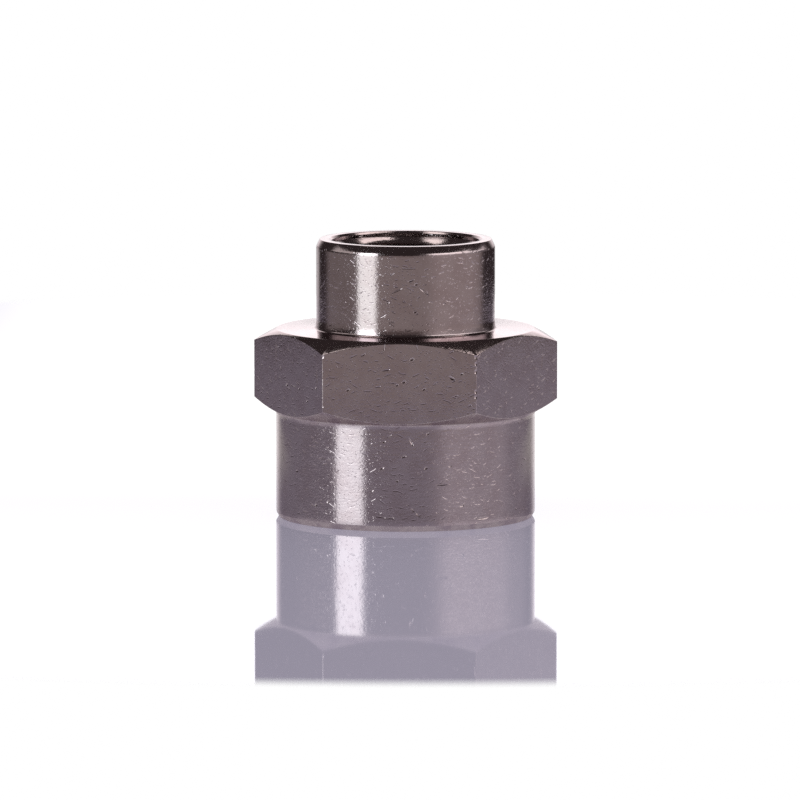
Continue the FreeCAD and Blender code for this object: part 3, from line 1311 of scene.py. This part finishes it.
@dataclass(frozen=True)
class GlossyFloor:
    """A pale sheet with a painted glow under a glossy film, with painted backdrop light behind it,
    fading into the white around it.

    Attributes:
        colour: of the painted glow and of the sheet's own surface.
        painted_glow_share: how much of its light is a painted glow, which nothing shades.
        film_ior: of the glossy film.
        film_roughness: of the glossy film.
        painted_light_colour: painted light on the sheet behind the coupling, where the backdrop
            would light it.
        painted_light_start: how far behind the axis the painted light starts.
        painted_light_end: where it is full.
        painted_lane_start: how far to the side the painted light starts to fade again.
        painted_lane_end: where it has faded.
        fade_start: where the sheet starts to fade, out from its middle.
        fade_end: where it has faded.
        shift_back: how far its middle lies behind the coupling.
        radius: of the sheet.
        sides: how many the sheet has.
    """

    colour: Colour = (0.52, 0.485, 0.61)
    painted_glow_share: float = 0.75
    film_ior: float = 1.5
    film_roughness: float = 0.03
    painted_light_colour: Colour = (1.0, 1.0, 1.0)
    painted_light_start: float = 5 * MM
    painted_light_end: float = 45 * MM
    painted_lane_start: float = 42 * MM
    painted_lane_end: float = 60 * MM
    fade_start: float = 142 * MM
    fade_end: float = 148 * MM
    shift_back: float = 45 * MM
    radius: float = 155 * MM
    sides: int = 96

    def tint(self, work: NodeWork, place: object) -> NodeSocket:
        """The sheet's colour at a place, with its painted light behind the coupling, given from the
        sheet's own middle.
        """
        parts = work.add("ShaderNodeSeparateXYZ", {"Vector": place}).outputs
        # Painted light: the sheet turns white behind the coupling, where the backdrop's light would
        # fall
        turning = (self.painted_light_start - self.shift_back, self.painted_light_end - self.shift_back)
        behind = work.ramp(parts["Y"], *turning)
        aside = work.math("ABSOLUTE", parts["X"])
        painted_light_lane = work.ramp(aside, self.painted_lane_start, self.painted_lane_end, 1.0, 0.0)
        return work.tint(work.math("MULTIPLY", behind, painted_light_lane), self.colour, self.painted_light_colour)

    def build(self) -> None:
        """Lay the sheet and give it its material."""
        bpy.ops.mesh.primitive_circle_add(
            vertices=self.sides,
            radius=self.radius,
            fill_type="NGON",
            location=(0.0, self.shift_back, 0.0),
        )
        floor = bpy.context.object
        floor.name = "floor"
        material = bpy.data.materials.new("pale_floor")
        material.use_nodes = True
        work = NodeWork(material.node_tree)
        place = work.add("ShaderNodeTexCoord").outputs["Object"]
        away = work.length(place)
        colour = self.tint(work, place)
        # Painted glow: the sheet shines by itself, so no shadow falls on it
        painted_glow = work.add("ShaderNodeEmission", {"Color": colour})
        surface = work.add("ShaderNodeBsdfDiffuse", {"Color": colour})
        sheet = work.mix(self.painted_glow_share, surface, painted_glow)
        film = work.add("ShaderNodeBsdfGlossy", {"Roughness": self.film_roughness})
        glance = work.add("ShaderNodeFresnel", {"IOR": self.film_ior})
        coated = work.mix(glance.outputs[0], sheet, film)
        clear = work.add("ShaderNodeBsdfTransparent")
        faded = work.mix(work.ramp(away, self.fade_start, self.fade_end), coated, clear)
        work.add("ShaderNodeOutputMaterial", {"Surface": faded.outputs[0]})
        floor.data.materials.append(material)


@dataclass(frozen=True)
class StudioCamera:
    """The camera at the photograph's viewing angle."""

    azimuth_degrees: float = 2.75
    elevation_degrees: float = 6.83
    distance: float = 737.8 * MM
    aim_height: float = 10.57 * MM
    aim_left: float = 0.51 * MM
    lens_mm: float = 363.8
    sensor_mm: float = 36.0
    near: float = 100 * MM
    far: float = 5000 * MM

    def build(self) -> None:
        """Place the camera and make it the scene's own."""
        turn = math.radians(self.azimuth_degrees)
        tilt = math.radians(self.elevation_degrees)
        right = Vector((math.cos(turn), math.sin(turn), 0.0))
        level = math.cos(tilt)
        back = Vector((math.sin(turn) * level, -math.cos(turn) * level, math.sin(tilt)))
        aim = Vector((0.0, 0.0, self.aim_height)) - right * self.aim_left
        data = bpy.data.cameras.new("camera")
        data.lens = self.lens_mm
        data.sensor_width = self.sensor_mm
        data.clip_start = self.near
        data.clip_end = self.far
        camera = bpy.data.objects.new("camera", data)
        camera.location = aim + back * self.distance
        camera.rotation_euler = back.to_track_quat("Z", "Y").to_euler()
        bpy.context.scene.collection.objects.link(camera)
        bpy.context.scene.camera = camera


STUDIO = Studio(
    banks=(
        # Below the horizon, as the walls mirror the room past the sheet's edge
        LightBank(0.0, 119.0, 8.0, -50.0, 0.0, 2.0, (0.207, 0.184, 0.188)),
        LightBank(30.0, 88.0, 8.0, -50.0, 0.0, 2.0, (0.10, 0.085, 0.085)),
        LightBank(72.0, 34.0, 12.0, -50.0, 0.0, 2.0, (0.09, 0.075, 0.08)),
        LightBank(-48.5, 13.0, 2.4, -50.0, 0.0, 2.0, (1.4, 1.56, 1.61)),
        LightBank(192.0, 21.0, 6.0, -50.0, 0.0, 2.0, (0.72, 0.72, 0.72)),
        # Low above it, as the floor's film and the level shoulder mirror it
        LightBank(-48.5, 13.0, 2.4, 0.0, 28.0, 2.0, (3.45, 3.7, 3.95)),
        LightBank(66.0, 34.0, 16.0, 0.0, 28.0, 4.0, (0.45, 0.41, 0.43)),
        LightBank(115.0, 22.0, 10.0, 0.0, 20.0, 4.0, (0.17, 0.16, 0.175)),
        LightBank(0.0, 60.0, 20.0, 0.0, 8.0, 2.0, (0.10, 0.08, 0.08)),
        LightBank(183.0, 25.0, 10.0, 0.0, 27.0, 4.0, (1.5, 1.5, 1.5)),
        LightBank(180.0, 14.0, 8.0, 7.5, 14.0, 1.0, (0.7, 0.7, 0.7)),
        # Higher, seen only by edges, dents and the flared foot
        LightBank(82.0, 48.0, 8.0, 10.5, 19.0, 1.5, (1.05, 1.0, 1.03)),
        LightBank(66.0, 31.0, 7.0, 19.0, 28.0, 1.5, (1.8, 1.74, 1.77)),
        LightBank(-86.0, 23.0, 7.0, 10.5, 28.0, 1.5, (0.65, 0.61, 0.62)),
        # Overhead at the sides, seen only by the mouth's slopes
        LightBank(-104.0, 22.0, 6.0, 58.0, 74.0, 3.0, (1.9, 1.79, 1.79)),
        LightBank(126.0, 13.0, 4.0, 50.0, 78.0, 3.0, (1.9, 1.74, 1.74)),
    )
)

# The marks of handling on the plate: dashes, and specks between them
WEAR_MARKS = (
    ScratchField(1.25, 0.8, 0.12, 0.42, 0.012 * MM, 35.0),
    ScratchField(3.0, 0.24, 0.09, 0.45, 0.006 * MM),
)

FINISHES = {
    Zone.TURNED: PlatedFinish("turned_nickel", scratches=WEAR_MARKS),
    Zone.FLAT: PlatedFinish("flat_nickel", lines_along_bar=True, scratches=WEAR_MARKS),
    Zone.THREAD: PlatedFinish("thread_nickel"),
    # Painted shade: the level faces mirror the backdrop dimmer and pinker than the rest of the same
    # plate
    Zone.TOP: PlatedFinish("top_nickel_painted_shade", edge_tint=(0.75, 0.69, 0.715)),
    # Painted light: the faces that look down are painted lighter than the rest of the plate; they
    # are also rougher
    Zone.UNDER: PlatedFinish("rough_nickel_painted_light", colour=(0.60, 0.53, 0.47), roughness=0.34),
}


def port_radius(record: dict, name: str) -> float:
    """The bore radius of one of the record's ports."""
    port = next(mount for mount in record["mounts"] if mount["name"] == name)
    return port["dims"]["r_mm"] * MM


def main() -> None:
    """Build the coupling, dress it and set up the studio."""
    logging.basicConfig(level=logging.INFO, format="%(name)s: %(message)s")
    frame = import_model()
    deselect_all()
    _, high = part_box(NODE)

    StudioCamera().build()
    large = PipeThread(
        pitch=1.814 * MM,
        root_radius=10.4775 * MM,
        crest_radius=port_radius(frame["record"], "large_port"),
    )
    small = PipeThread(
        pitch=1.337 * MM,
        root_radius=6.5785 * MM,
        crest_radius=port_radius(frame["record"], "small_port"),
    )
    body = CouplingBody(
        flat_distance=high.y,
        length=high.z,
        large_bore=large.crest_radius,
        small_bore=small.crest_radius,
    )
    body.turn()
    body.mill_flats()
    body.break_edges()
    log.info("turned and milled: %d faces", len(body.piece.data.polygons))
    body.cut_threads(large, small)
    log.info("tapped: %d faces", len(body.piece.data.polygons))
    dents = body.wear()
    log.info("worn: %d dents, %d faces", dents, len(body.piece.data.polygons))

    body.dress({zone: finish.material() for zone, finish in FINISHES.items()})
    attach(body.piece, BODY)
    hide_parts(NODE)
    log.info("%s rides on %s", body.piece.name, BODY)

    STUDIO.build()
    GlossyFloor().build()
    bpy.context.scene.view_settings.view_transform = "Standard"
    # The plate's grain is as fine as the noise that denoising takes away
    bpy.context.scene.cycles.use_denoising = False


if __name__ == "__main__":
    main()
